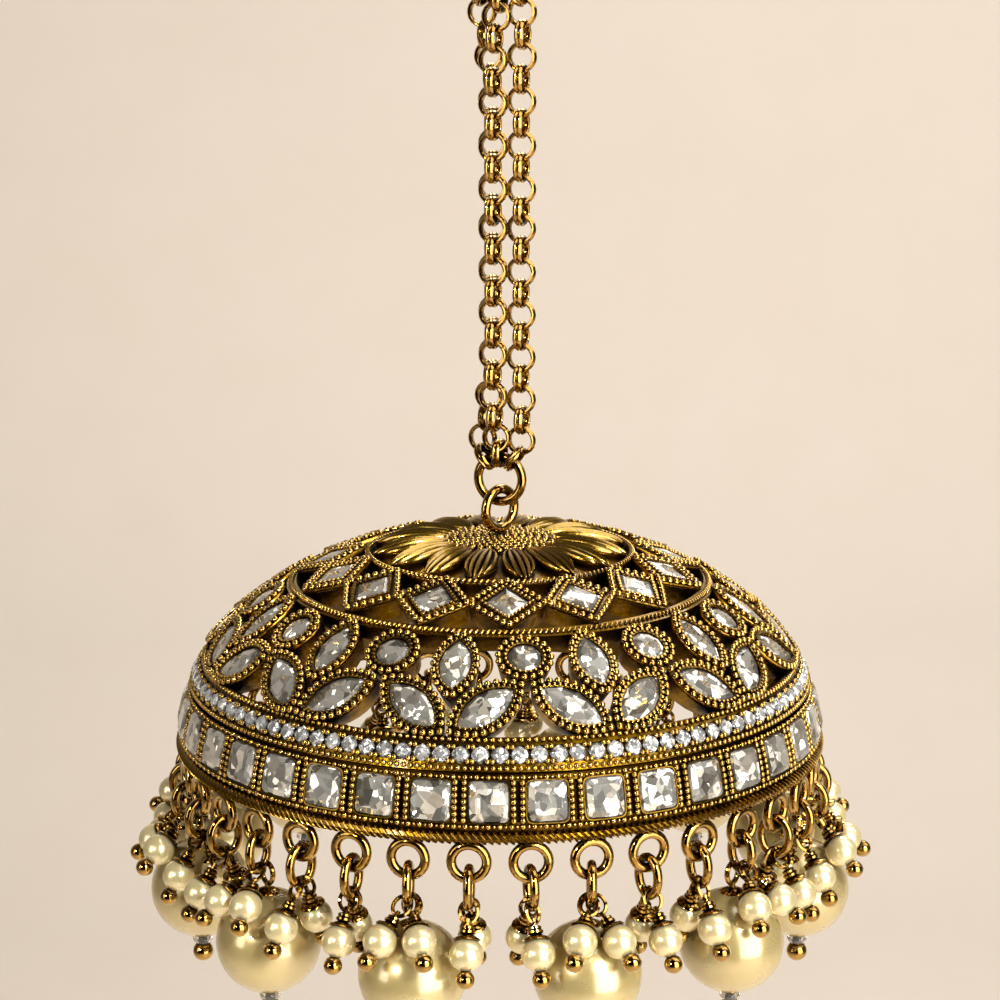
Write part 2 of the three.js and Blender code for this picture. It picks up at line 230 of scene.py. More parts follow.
def along(outline, width, length, pitch):
    """Points at an even pitch along an outline, as (x, y)."""
    path = np.array([outline(spoke, width, length) for spoke in np.linspace(0, 2 * pi, 721)])
    walked = np.concatenate([[0], np.cumsum(np.hypot(*np.diff(path, axis=0).T))])
    count = max(4, round(walked[-1] / pitch))
    stops = np.arange(count) * walked[-1] / count
    return list(zip(*(np.interp(stops, walked, path[:, axis]) for axis in (0, 1))))


# %% [markdown]
# A granule is a small ball of metal half sunk in its bed, so it is modelled as a low dome. There
# are thousands, and each has only a few dozen faces. A grain is the same ball drawn out, as the
# strands of a twisted wire show where they come up.

# %% Granules, grains, balls and wire rings
def dome(segments=8, rings=6):
    """The upper half of a ball of radius 1, closed below."""
    shape = bmesh.new()
    bmesh.ops.create_uvsphere(shape, u_segments=segments, v_segments=rings, radius=1)
    everything = list(shape.verts) + list(shape.edges) + list(shape.faces)
    bmesh.ops.bisect_plane(shape, geom=everything, plane_co=(0, 0, -0.25), plane_no=(0, 0, 1),
                           clear_inner=True)
    bmesh.ops.holes_fill(shape, edges=[edge for edge in shape.edges if edge.is_boundary])
    return shape


def ball(radii=(1, 1, 1), segments=12, rings=8):
    """A ball, or one drawn out to the given radii."""
    shape = bmesh.new()
    bmesh.ops.create_uvsphere(shape, u_segments=segments, v_segments=rings, radius=1)
    bmesh.ops.scale(shape, vec=radii, verts=shape.verts)
    return shape


def wire_ring(radius, wire, steps=40, sides=12, narrow=1.0):
    """A ring of round wire that stands in the XZ plane, or an oval one."""
    shape = bmesh.new()
    section = bmesh.ops.create_circle(shape, segments=sides, radius=wire, cap_ends=False)["verts"]
    bmesh.ops.translate(shape, verts=section, vec=(radius, 0, 0))
    bmesh.ops.spin(shape, geom=section + list(shape.edges), cent=(0, 0, 0), axis=(0, 1, 0),
                   angle=2 * pi, steps=steps, use_merge=True, use_duplicate=False)
    bmesh.ops.remove_doubles(shape, verts=shape.verts, dist=1e-4)
    for corner in shape.verts:
        middle = Vector((corner.co.x, 0, corner.co.z)).normalized() * radius
        corner.co += Vector((middle.x * (narrow - 1), 0, 0))
    bmesh.ops.recalc_face_normals(shape, faces=shape.faces)
    return shape


print("a granule has", len(dome().faces), "faces")

# %% [markdown]
# ## Finishes
# Colours are given as the hex values that a colour picker shows, and one function turns them to
# the linear values that Blender mixes light with. One more function adds a node, with its settings
# and links, and every material is built with it.

# %% Colour and node helpers
# A colour mix node names its sockets like those for plain values, so they are given by number.
MIX_A, MIX_B, MIX_RESULT = 6, 7, 2


def linear(hex_colour):
    """Linear red, green, blue and alpha of an sRGB hex colour."""
    channels = [int(hex_colour[place:place + 2], 16) / 255 for place in (1, 3, 5)]
    return [c / 12.92 if c <= 0.04045 else ((c + 0.055) / 1.055) ** 2.4 for c in channels] + [1]


def add_node(material, kind, inputs=None, **settings):
    """Adds a node. An input is set to its value, or linked where the value is another's output."""
    tree = material.node_tree
    node = tree.nodes.new(kind)
    for name, value in settings.items():
        setattr(node, name, value)
    for name, value in (inputs or {}).items():
        if isinstance(value, bpy.types.NodeSocket):
            tree.links.new(value, node.inputs[name])
        else:
            node.inputs[name].default_value = value
    return node


def new_material(name):
    """An empty node material, with its output and its object coordinates."""
    material = bpy.data.materials.new(name)
    material.use_nodes = True
    material.node_tree.nodes.clear()
    return material, add_node(material, "ShaderNodeTexCoord").outputs["Object"]


def finish_with(material, shader):
    """Links a shader to the material's output."""
    add_node(material, "ShaderNodeOutputMaterial", {"Surface": shader.outputs["BSDF"]})
    print("finish", material.name)
    return material


def per_metre(millimetres):
    """The scale of a texture whose features are this size, on a mesh in metres."""
    return 1000 / millimetres


# %% [markdown]
# ### Antique gold plate
# The cast metal is brass, barrel-plated with gold and dipped in a dark patina. The maker then wipes
# it, so that what stands proud is bright and what lies deep stays brown. An ambient occlusion node
# finds what lies deep, over a reach of about a granule, and noise makes the wiping uneven. What was
# wiped takes an amber lacquer, which deepens the gold but has white highlights of its own. The
# casting's grain is finer on the real jewel, and is drawn as coarse as it needs to show. Metal keeps
# the default IOR.

# %% Antique gold
GRAIN, UNEVEN_WIPING, WIPED_OVER, LACQUER_TINT = 0.45, 0.18, 0.4, "#F8F0B6"


def antique_gold(name, polished, worn, film, reach, deep=0.4, patch=2.5, shine=0.2, dull=0.5,
                 lacquer=1.7):
    """Gold plate with a brown film in its recesses, wiped over a reach in millimetres."""
    material, place = new_material(name)
    shelter = add_node(material, "ShaderNodeAmbientOcclusion", {"Distance": reach / 1000}, samples=6)
    patches = add_node(material, "ShaderNodeTexNoise",
                       {"Vector": place, "Scale": per_metre(patch), "Detail": 4.0, "Roughness": 0.6})
    uneven = add_node(material, "ShaderNodeMapRange",
                      {"Value": patches.outputs["Fac"], "From Min": 0.3, "From Max": 0.7,
                       "To Min": -UNEVEN_WIPING, "To Max": UNEVEN_WIPING})
    wiped = add_node(material, "ShaderNodeMath",
                     {0: shelter.outputs["AO"], 1: uneven.outputs["Result"]}, operation="ADD")
    bare = add_node(material, "ShaderNodeMapRange",
                    {"Value": wiped.outputs[0], "From Min": deep, "From Max": deep + WIPED_OVER},
                    interpolation_type="SMOOTHSTEP")
    grain = add_node(material, "ShaderNodeTexNoise",
                     {"Vector": place, "Scale": per_metre(GRAIN), "Detail": 3.0})
    gold = add_node(material, "ShaderNodeMix",
                    {0: grain.outputs["Fac"], MIX_A: linear(worn), MIX_B: linear(polished)},
                    data_type="RGBA")
    colour = add_node(material, "ShaderNodeMix",
                      {0: bare.outputs["Result"], MIX_A: linear(film),
                       MIX_B: gold.outputs[MIX_RESULT]}, data_type="RGBA")
    rough = add_node(material, "ShaderNodeMapRange",
                     {"Value": bare.outputs["Result"], "To Min": dull, "To Max": shine})
    bump = add_node(material, "ShaderNodeBump",
                    {"Height": grain.outputs["Fac"], "Strength": 0.35, "Distance": 0.00008})
    return finish_with(material, add_node(
        material, "ShaderNodeBsdfPrincipled",
        {"Base Color": colour.outputs[MIX_RESULT], "Metallic": 1.0,
         "Roughness": rough.outputs["Result"], "Normal": bump.outputs["Normal"],
         "Coat Weight": bare.outputs["Result"], "Coat Roughness": 0.06, "Coat IOR": lacquer,
         "Coat Tint": linear(LACQUER_TINT)}))


cast_gold = antique_gold("antique_gold_cast", "#D6A83A", "#8C6814", "#2A1702", reach=1.0, deep=0.48,
                         shine=0.18, lacquer=1.4)
wall_gold = antique_gold("antique_gold_walls", "#9C7818", "#5C4208", "#241402", reach=2.2, deep=0.5,
                         shine=0.24, dull=0.42, lacquer=1.2)
petal_gold = antique_gold("antique_gold_petals", "#BC9A48", "#9A7A30", "#4A3610", reach=0.8, deep=0.42,
                          shine=0.23, dull=0.42, lacquer=1.6)
granule_gold = antique_gold("antique_gold_granules", "#E4B844", "#A47E1C", "#281602", reach=0.5,
                            deep=0.47, shine=0.12, lacquer=1.75)
wire_gold = antique_gold("bright_gold_wire", "#CEA238", "#826014", "#1E1002", reach=1.0, deep=0.46,
                         shine=0.07, dull=0.34, lacquer=1.6)
inner_gold = antique_gold("unwiped_gold_inside", "#604810", "#382606", "#1A0F02", reach=3.0, deep=0.6,
                          shine=0.34, dull=0.5, lacquer=1.2)

# %% [markdown]
# ### Foil-backed glass
# The stones are glass with silver foil behind. Light goes in, meets the foil or a back facet and
# comes out again, so each patch of a stone shows a different part of the room: white, grey or dark.
# A cell pattern tilts a mirror-like surface patch by patch to do the same, a finer one splits each
# patch into shards, and a clear coat over it is the polished front of the glass. The same pattern
# also mixes each patch's colour between a light and a dark one, a painted reflection of bright and
# dark parts of the room. The patches are a slice through cells in four dimensions, which vary more
# in size than plain cells.

# %% Stones
SHARD_SIZE, SHARD_TILT = 0.6, 0.25


def foiled_glass(name, patch, tilt, painted_bright_reflection, painted_dark_reflection, haze=0.06):
    """Foiled glass with painted light and dark reflections; patches are a size in millimetres and lean
    up to a tilt.
    """
    material, place = new_material(name)
    front = add_node(material, "ShaderNodeNewGeometry")
    cells = add_node(material, "ShaderNodeTexVoronoi",
                     {"Vector": place, "W": 0.0, "Scale": per_metre(patch), "Randomness": 1.0},
                     voronoi_dimensions="4D")
    shards = add_node(material, "ShaderNodeTexVoronoi",
                      {"Vector": place, "Scale": per_metre(patch * SHARD_SIZE), "Randomness": 1.0})
    mixed = add_node(material, "ShaderNodeVectorMath",
                     {0: shards.outputs["Color"], 1: (SHARD_TILT,) * 3, 2: cells.outputs["Color"]},
                     operation="MULTIPLY_ADD")
    centred = add_node(material, "ShaderNodeVectorMath",
                       {0: mixed.outputs[0], 1: (0.5 + SHARD_TILT / 2,) * 3}, operation="SUBTRACT")
    tilted = add_node(material, "ShaderNodeVectorMath",
                      {0: centred.outputs[0], "Scale": tilt}, operation="SCALE")
    lean = add_node(material, "ShaderNodeVectorMath",
                    {0: tilted.outputs[0], 1: front.outputs["Normal"]}, operation="ADD")
    facet = add_node(material, "ShaderNodeVectorMath", {0: lean.outputs[0]}, operation="NORMALIZE")
    # Painted reflection: the same pattern picks each patch's colour between the light and the dark one.
    painted_reflection_share = add_node(material, "ShaderNodeMapRange",
                     {"Value": mixed.outputs[0], "From Min": 0.4, "From Max": 0.85})
    colour = add_node(material, "ShaderNodeMix",
                      {0: painted_reflection_share.outputs["Result"], MIX_A: linear(painted_bright_reflection), MIX_B: linear(painted_dark_reflection)},
                      data_type="RGBA")
    return finish_with(material, add_node(
        material, "ShaderNodeBsdfPrincipled",
        {"Base Color": colour.outputs[MIX_RESULT], "Metallic": 0.7, "Roughness": haze,
         "Normal": facet.outputs[0], "Coat Weight": 0.8, "Coat Roughness": 0.02}))


# Each glass has a light and a dark painted reflection colour for its patches.
kundan_glass = foiled_glass("foiled_glass_large", patch=1.1, tilt=1.0, painted_bright_reflection="#E0DCD2", painted_dark_reflection="#726D62")
brilliant_glass = foiled_glass("foiled_glass_brilliants", patch=0.42, tilt=1.1, painted_bright_reflection="#FFFFFF",
                               painted_dark_reflection="#9C9E9F")

# %% [markdown]
# ### Pearls
# The pearls are ivory resin beads dipped in pearl essence: a body that lets a little light in, under
# a thin glossy skin with a warm tint, which deepens towards the edge where light crosses more of it.
# Cloudy noise varies the skin's colour and gloss, and fine noise gives the ripple of dipped coats.

# %% Pearl
def dipped_pearl(name, body_colour, cloud_colour, skin_colour, cloud):
    """Pearl essence over resin, with clouds of a size in millimetres."""
    material, place = new_material(name)
    clouds = add_node(material, "ShaderNodeTexNoise",
                      {"Vector": place, "Scale": per_metre(cloud), "Detail": 4.0, "Roughness": 0.6})
    colour = add_node(material, "ShaderNodeMix",
                      {0: clouds.outputs["Fac"], MIX_A: linear(body_colour),
                       MIX_B: linear(cloud_colour)}, data_type="RGBA")
    ripple = add_node(material, "ShaderNodeTexNoise",
                      {"Vector": place, "Scale": per_metre(0.8), "Detail": 2.0})
    bump = add_node(material, "ShaderNodeBump",
                    {"Height": ripple.outputs["Fac"], "Strength": 0.15, "Distance": 0.0001})
    rough = add_node(material, "ShaderNodeMapRange",
                     {"Value": clouds.outputs["Fac"], "To Min": 0.22, "To Max": 0.36})
    return finish_with(material, add_node(
        material, "ShaderNodeBsdfPrincipled",
        {"Base Color": colour.outputs[MIX_RESULT], "Metallic": 0.5,
         "Roughness": rough.outputs["Result"],
         "Subsurface Weight": 0.4, "Subsurface Radius": (1.0, 0.55, 0.18), "Subsurface Scale": 0.0016,
         "Normal": bump.outputs["Normal"], "Coat Weight": 1.0, "Coat Roughness": 0.16,
         "Coat IOR": 1.9, "Coat Tint": linear(skin_colour)}))


large_pearl_skin = dipped_pearl("pearl_large", "#D0C6A2", "#BEAE80", "#F8EFD2", 3.0)
small_pearl_skin = dipped_pearl("pearl_small", "#E8E0C6", "#D4C89C", "#FBF4DE", 1.0)

# %% [markdown]
# ### Clear glass
# The small beads are wound from a rod of melted glass, so their skin is smooth with slow waves.

# %% Clear glass bead
clear_glass, glass_place = new_material("clear_glass_bead")
melt = add_node(clear_glass, "ShaderNodeTexNoise",
                {"Vector": glass_place, "Scale": per_metre(0.8), "Detail": 1.0})
melt_bump = add_node(clear_glass, "ShaderNodeBump",
                     {"Height": melt.outputs["Fac"], "Strength": 0.2, "Distance": 0.0001})
finish_with(clear_glass, add_node(
    clear_glass, "ShaderNodeBsdfPrincipled",
    {"Base Color": linear("#F7F3EA"), "Roughness": 0.04, "IOR": 1.5, "Transmission Weight": 0.9,
     "Normal": melt_bump.outputs["Normal"]}))

# %% [markdown]
# ## The bell
# ### Walls
# The bell is cast in courses: a band with a bed for the square stones, a groove, and a raised
# channel for the small brilliants; then pierced work held by two rings; and a closed crown. The
# walls behind all of them are spun, each from one closed outline of (rise, proud) places. Their
# inner faces can't be reached by the wiping cloth, so they take a finish that stayed dark.

# %% Spun walls of the band, the rings and the crown
BAND = [(-1.4, -1.0), (-0.2, -0.55), (2.2, -0.4), (3.9, -0.3), (4.0, -0.55), (14.1, -0.55),
        (14.2, -0.3), (15.4, -0.3), (15.6, -0.9), (16.1, -0.9), (16.3, -0.15), (18.2, -0.1),
        (18.4, -0.3), (22.2, -0.3), (22.4, -0.1), (24.5, -0.15), (24.8, -0.5), (24.8, -1.6),
        (16, -1.75), (8, -1.75), (0, -1.75), (-1.6, -1.6)]
WAIST = [(48.7, -0.35), (48.9, -0.05), (51.1, -0.05), (51.3, -0.35), (51.3, -1.7), (48.7, -1.7)]
CROWN = [(90, -1.2), (82, -1.4), (74, -1.6), (65.3, -1.8), (65.3, -0.5), (65.5, -0.2),
         (66.3, -0.2), (66.6, -0.7), (72, -0.8), (78, -0.7), (84, -0.6), (90, -0.6)]


def spun_wall(places):
    """A wall of the bell, spun from (rise, proud) places. A rise of 90 is on the axis."""
    outline = [surface(*place) for place in places]
    return spun([(0.0 if place[0] == 90 else radius, height)
                 for place, (radius, height) in zip(places, outline)])


HERE = [Matrix.Identity(4)]
bell_shell = gather("bell_shell", [
    (spun_wall(BAND), HERE, 0),
    (spun_wall(WAIST), HERE, 0),
    (spun_wall(CROWN), HERE, 0),
], [wall_gold, inner_gold], "pendant")
bell_middle = TO_FRAME @ Vector((0, 0, BELL_LIFT))
for face in bell_shell.data.polygons:
    face.material_index = int(face.normal.dot(face.center - bell_middle) < 0)
print("faces inside", sum(face.material_index for face in bell_shell.data.polygons))

# %% [markdown]
# ### The band of square stones
# Thirty-eight square stones with soft corners stand in thin bezels. Between neighbours run two
# columns of granules with a dark groove between them, and a row of granules runs above and below.

# %% Square stones, their bezels and granules
SQUARES = 38
SQUARES_PHASE = -1.8
SQUARES_RISE = 9.05
COLUMN_GRANULES, COLUMN_PITCH = 7, 1.55
COLUMN_ASIDE, COLUMN_RADIUS = 0.39, 0.29
CUSHION = rounded(7)
square_places = [on_bell(SQUARES_RISE, SQUARES_PHASE + step * 360 / SQUARES, proud=-0.42)
                 for step in range(SQUARES)]
square_stone = drawn_up(CUSHION, [(3.5, 3.5, -0.2), (3.6, 3.6, 0.05), (3.3, 3.3, 0.36),
                                  (2.3, 2.3, 0.56)], sides=16)
square_bezel = drawn_up(CUSHION, [(3.95, 3.95, -0.3), (3.88, 3.88, 0.1), (3.78, 3.78, 0.2),
                                  (3.62, 3.62, 0.2), (3.6, 3.6, 0.0)], sides=32)
column_places = []
for step in range(SQUARES):
    between = SQUARES_PHASE + (step + 0.5) * 360 / SQUARES
    for side in (-1, 1):
        for number in range(COLUMN_GRANULES):
            rise = SQUARES_RISE + (number - COLUMN_GRANULES // 2) * COLUMN_PITCH
            column_places.append(on_bell(rise, between, proud=-0.22)
                                 @ Matrix.Translation((side * COLUMN_ASIDE, 0, 0))
                                 @ Matrix.Scale(COLUMN_RADIUS, 4))
gather("bell_square_bezels", [(square_bezel, square_places, 0), (dome(), column_places, 1)],
       [wall_gold, granule_gold], "pendant")
gather("bell_square_stones", [(square_stone, square_places, 0)], [kundan_glass], "pendant",
       crease=5)

# %% Rows of granules and the channel of brilliants
BRILLIANTS = 108
BRILLIANTS_RISE = 20.3
PRONG_RISE, PRONG_SPREAD, PRONG_RADIUS = 1.7, 0.42, 0.25
brilliant_places = [on_bell(BRILLIANTS_RISE, step * 360 / BRILLIANTS, proud=-0.1)
                    for step in range(BRILLIANTS)]
brilliant = drawn_up(rounded(2), [(1.35, 1.35, -0.4), (1.58, 1.58, 0.0), (1.32, 1.32, 0.2),
                                  (0.8, 0.8, 0.36)], sides=8)
prong_places = [on_bell(BRILLIANTS_RISE + side * PRONG_RISE, (step + 0.5) * 360 / BRILLIANTS + spread,
                        proud=0.05) @ Matrix.Scale(PRONG_RADIUS, 4)
                for step in range(BRILLIANTS) for side in (-1, 1)
                for spread in (-PRONG_SPREAD, PRONG_SPREAD)]
# Each row: its rise, the pitch and radius of its granules, and how far round and proud they lie.
row_granules = [
    *round_row(2.75, 1.0, 0.28, proud=-0.3),
    *round_row(2.75, 1.0, 0.17, phase=0.93, proud=-0.3),
    *round_row(15.0, 1.0, 0.27, proud=-0.25),
    *round_row(15.0, 1.0, 0.17, phase=0.96, proud=-0.25),
    *round_row(17.1, 0.6, 0.26, proud=-0.1),
    *round_row(23.75, 0.62, 0.26, proud=-0.05),
]
gather("bell_band_granules", [(dome(), row_granules + prong_places, 0)], [granule_gold], "pendant")
gather("bell_brilliants", [(brilliant, brilliant_places, 0)], [brilliant_glass], "pendant",
       crease=5)

# %% [markdown]
# ### Rope rim
# A twisted wire is soldered round the rim. From outside it shows as slanted strands, so each strand
# is a long grain that leans across the rim, and a plain ring fills the rope's core.

# %% Rope rim
ROPE_STRANDS = 316
ROPE_OUT = BELL_RADIUS - 0.45
ROPE_HEIGHT = 0.5
ROPE_LEAN, ROPE_CORE = -48, 0.46
rope_bench = Matrix.Translation((0, -ROPE_OUT, ROPE_HEIGHT)) @ turned_by("Y", ROPE_LEAN)
rope_places = [turned_by("Z", step * 360 / ROPE_STRANDS) @ rope_bench for step in range(ROPE_STRANDS)]
rope_core = spun([(ROPE_OUT + ROPE_CORE * cos(radians(turn)),
                   ROPE_HEIGHT + ROPE_CORE * sin(radians(turn))) for turn in range(0, 360, 45)])
rope_strand = ball((0.18, 0.62, 0.92), segments=8, rings=8)
gather("bell_rope_rim", [(rope_strand, rope_places, 0), (rope_core, HERE, 1)],
       [granule_gold, wall_gold], "pendant")

# %% [markdown]
# ### Settings of the pierced courses
# Each large stone of the pierced courses stands in a deep collet of its own. A cup is drawn up from a
# narrower foot inside the bell, and a plate on top of it carries a row of granules at its very edge
# and a finer row round the stone. Neighbours are soldered where they touch, and the bell is open
# between them.

# %% Collets and their stones
LOTUSES = 12
LOTUS_PHASE = -9.6
LOZENGES = 15
LOZENGE_PHASE = 2.2
ROUND = rounded(2)
LOZENGE = rounded(1.04)
COLLET_DEPTH = 2.1


def cup(outline, outer):
    """The wall of a collet, with its outer size as (width, length)."""
    rings = [(-0.8, -COLLET_DEPTH), (-0.1, -0.5), (-0.1, -0.25)]
    return drawn_up(outline, [(outer[0] + grow, outer[1] + grow, height) for grow, height in rings])


def plate(outline, outer, stone):
    """The top of a collet: an edge that catches light, a flat and a seat for the stone."""
    edge = [(-0.2, -0.42), (0.0, -0.34), (0.0, -0.16), (-0.12, -0.04)]
    seat = [(0.75, -0.04), (0.55, 0.12), (0.3, 0.22), (0.1, 0.2), (0.02, -0.05)]
    return drawn_up(outline, [(outer[0] + grow, outer[1] + grow, height) for grow, height in edge]
                    + [(stone[0] + grow, stone[1] + grow, height) for grow, height in seat], sides=32)


def faceted(outline, stone, sides, table=0.45, height=0.34):
    """A stone with a girdle, a belt of facets and a table."""
    width, length = stone
    return drawn_up(outline, [(width, length, -0.1), (width, length, 0.05),
                              (width * 0.78, length * 0.8, height * 0.7),
                              (width * table, length * table, height)], sides=sides)


def granules_along(outline, size, pitch, radius, height):
    """Granule places along an outline of a size, as matrices on a setting's bench."""
    return [Matrix.Translation((x, y, height)) @ Matrix.Scale(radius, 4)
            for x, y in along(outline, *size, pitch)]


# The places of a setting are its turns round and its tilts within one repeat.
SETTINGS = {
    "petals": dict(outline=marquise, outer=(4.4, 8.0), stone=(2.9, 5.9), sides=12, rise=31.0,
                   count=LOTUSES, phase=LOTUS_PHASE, places=[(6.95, -53), (-6.95, 53)]),
    "buds": dict(outline=marquise, outer=(4.1, 7.4), stone=(2.8, 5.3), sides=12, rise=41.3,
                 count=LOTUSES, phase=LOTUS_PHASE, places=[(0, 0)]),
    "rounds": dict(outline=ROUND, outer=(4.9, 4.9), stone=(3.0, 3.0), sides=10, rise=43.2,
                   count=LOTUSES, phase=LOTUS_PHASE, places=[(15, 0)]),
    "lozenges": dict(outline=LOZENGE, outer=(7.0, 7.2), stone=(4.1, 4.5), sides=12, rise=58.4,
                     count=LOZENGES, phase=LOZENGE_PHASE, places=[(0, 0)]),
}
for name, plan in SETTINGS.items():
    benches = [on_bell(plan["rise"], plan["phase"] + step * 360 / plan["count"] + around, tilt)
               for step in range(plan["count"]) for around, tilt in plan["places"]]
    outline, outer, stone = plan["outline"], plan["outer"], plan["stone"]
    edge_row = granules_along(outline, (outer[0] - 0.3, outer[1] - 0.4), 0.76, 0.33, 0.12)
    stone_row = granules_along(outline, (stone[0] + 0.45, stone[1] + 0.5), 0.48, 0.2, 0.24)
    gather(f"bell_{name}", [
        (cup(outline, outer), benches, 0),
        (plate(outline, outer, stone), benches, 1),
        (dome(), [bench @ spot for bench in benches for spot in edge_row], 2),
        (dome(6, 4), [bench @ spot for bench in benches for spot in stone_row], 2),
    ], [wall_gold, cast_gold, granule_gold], "pendant")
    gather(f"bell_{name}_stones", [(faceted(outline, stone, plan["sides"]), benches, 0)],
           [kundan_glass], "pendant", crease=5)

# %% Grains on the two rings of the pierced work
grain = ball((0.17, 0.36, 0.24), segments=8, rings=6)
grain_places = (round_row(50.0, 0.52, 1.0, tilt=-40)
                + round_row(65.9, 0.56, 1.0, proud=-0.15, tilt=-40))
gather("bell_ring_grains", [(grain, grain_places, 0)], [granule_gold], "pendant")

# %% [markdown]
# ### Crown
# A flower of sixteen petals covers the top of the bell round a granulated boss. A petal is cast as
# a fan of five ribs with deep cuts between them. Each rib is a drawn-out ball that is bowed upwards
# and aside, and its rounded end stands a little free. A low leaf under them closes the cuts. The
# boss's granules lie in slanted rows, with as many in each outer ring.

# %% Crown petals and boss
PETALS = 16
PETAL_FOOT, PETAL_TIP = 4.6, 12.3
PETAL_SPREAD = 0.66
PETAL_RIBS = (-2, -1, 0, 1, 2)
RIB_BOW, RIB_BOW_LOSS, RIB_SHORTER = 0.5, 0.07, 0.035
BOSS_RINGS, BOSS_PITCH = 7, 0.74
BOSS_ROWS, BOSS_RADIUS = 34, 0.31
PETAL_LIFT, BOSS_LIFT = -0.7, -0.5


def tipped(shape, angle):
    """The same shape, turned about X by an angle in degrees."""
    bmesh.ops.rotate(shape, verts=shape.verts, cent=(0, 0, 0),
                     matrix=Matrix.Rotation(radians(angle), 3, "X"))
    return shape


def petal_rib(number):
    """A rib of a petal, by its number from the middle one: Y runs from foot to tip and Z is up."""
    half = (PETAL_TIP - PETAL_FOOT) / 2
    shape = tipped(ball((0.25, 0.55, half), segments=8, rings=18), -90)
    for corner in shape.verts:
        outwards = corner.co.y / half
        spread = (1 - ((1 - outwards) / 2) ** 3) * (1 - 0.5 * max(outwards, 0) ** 3)
        corner.co.x = corner.co.x * (1 + 0.2 * outwards) + number * PETAL_SPREAD * spread
        corner.co.y = (corner.co.y + half) * (1 - RIB_SHORTER * number ** 2)
        corner.co.z += (RIB_BOW - RIB_BOW_LOSS * number ** 2) * max(1 - outwards ** 2, 0)
    return shape


def petal_leaf():
    """The low leaf under a petal's ribs."""
    length = PETAL_TIP - PETAL_FOOT
    leaf = drawn_up(marquise, [(2.9, length, -0.6), (2.9, length, -0.1), (1.6, length - 1, 0.15)],
                    sides=20)
    bmesh.ops.translate(leaf, verts=leaf.verts, vec=(0, length / 2, 0))
    return leaf


def on_crown(radius, around, lift=0.0):
    """A bench on the crown at a radius: Y outwards along the slope and Z up from the surface."""
    rise = degrees(atan2(sqrt(BELL_RADIUS ** 2 - radius ** 2), radius))
    return on_bell(rise, around, 180, lift)


petal_places = [on_crown(PETAL_FOOT, (step + 0.5) * 360 / PETALS, PETAL_LIFT)
                for step in range(PETALS)]
boss_places = []
for ring in range(BOSS_RINGS + 1):
    row_count = min(max(6 * ring, 1), BOSS_ROWS)
    for step in range(row_count):
        granule_place = on_crown(BOSS_PITCH * ring, step * 360 / row_count + 3 * ring, BOSS_LIFT)
        boss_places.append(granule_place @ Matrix.Scale(BOSS_RADIUS, 4))
gather("bell_crown", [(petal_rib(number), petal_places, 0) for number in PETAL_RIBS]
       + [(petal_leaf(), petal_places, 1), (dome(), boss_places, 2)],
       [petal_gold, wall_gold, granule_gold], "pendant", crease=50)

# %% [markdown]
# ### Loops
# The crown loop is soldered upright in the boss, and 36 eyelets are soldered under the rim.

# %% Crown loop and eyelets
EYELETS, EYELET_PHASE = 36, -5
EYELET_OUT, EYELET_CENTRE = 30.4, -1.75
EYELET_RADIUS, EYELET_WIRE = 1.53, 0.44
CROWN_LOOP_TURN, CROWN_LOOP_CENTRE = 45, 22.44
CROWN_LOOP_RADIUS, CROWN_LOOP_WIRE = 1.9, 0.47


def round_rim(step):
    """The turn from the front to an eyelet's place."""
    return turned_by("Z", EYELET_PHASE + step * 360 / EYELETS)


eyelet_places = [round_rim(step) @ Matrix.Translation((0, -EYELET_OUT, EYELET_CENTRE))
                 for step in range(EYELETS)]
loop_place = Matrix.Translation((0, 0, CROWN_LOOP_CENTRE)) @ turned_by("Z", CROWN_LOOP_TURN)
gather("bell_loops", [
    (wire_ring(EYELET_RADIUS, EYELET_WIRE, steps=28), eyelet_places, 0),
    (wire_ring(CROWN_LOOP_RADIUS, CROWN_LOOP_WIRE, steps=48), [loop_place], 0),
], [wire_gold], "pendant", stands_for=["bell"])

# %% [markdown]
# ## Chain and rings
# Rolo chain is made of round links of a grooved band, each turned a quarter from its neighbours. A
# link here is a ring spun from an outline with two ridges. Each strand starts inside its ring with a
# link that stands across the ring's wire.

# %% Chain strands
LINK_OUTER, LINK_INNER, LINK_BAND = 1.42, 1.02, 0.39
JUMP_RADIUS, JUMP_WIRE, JUMP_TURN = 2.2, 0.45, -21
CONNECTOR_CENTRE, TOP_CENTRE = 25.34, 72.54
STRAND_HEIGHT, LINKS, LOWER_LINKS = 47.2, 23, 12
END_REACH, LOOSE_PITCH = 0.32, 1.64
STRANDS = [
    dict(name="left", lean=(0, 0), tip=20, second=4.12, across=(0, -0.15, -0.3), back=(-0.9, -1.0)),
    dict(name="right", lean=(36, 10), tip=-8, second=3.74, across=(1.95, 2.1), back=(0.5, 0.3, 0.1, 0)),
    dict(name="back", lean=(-36, -10), tip=-8, second=3.74, across=(-1.95, -1.75, -1.6, -1.45),
         back=(0.5, 0.9, 1.3, 1.6, 1.9)),
]


def rolo_link():
    """A round link of grooved band that stands in the XZ plane."""
    outline = [(LINK_INNER + 0.02, 0), (LINK_INNER, 0.2), (LINK_INNER + 0.1, 0.36),
               (LINK_INNER + 0.24, LINK_BAND), (LINK_OUTER - 0.04, 0.28), (LINK_OUTER, 0.16),
               (LINK_OUTER - 0.1, 0.03)]
    mirrored = [(radius, -height) for radius, height in reversed(outline[1:])]
    return tipped(spun(outline + mirrored, steps=20), 90)


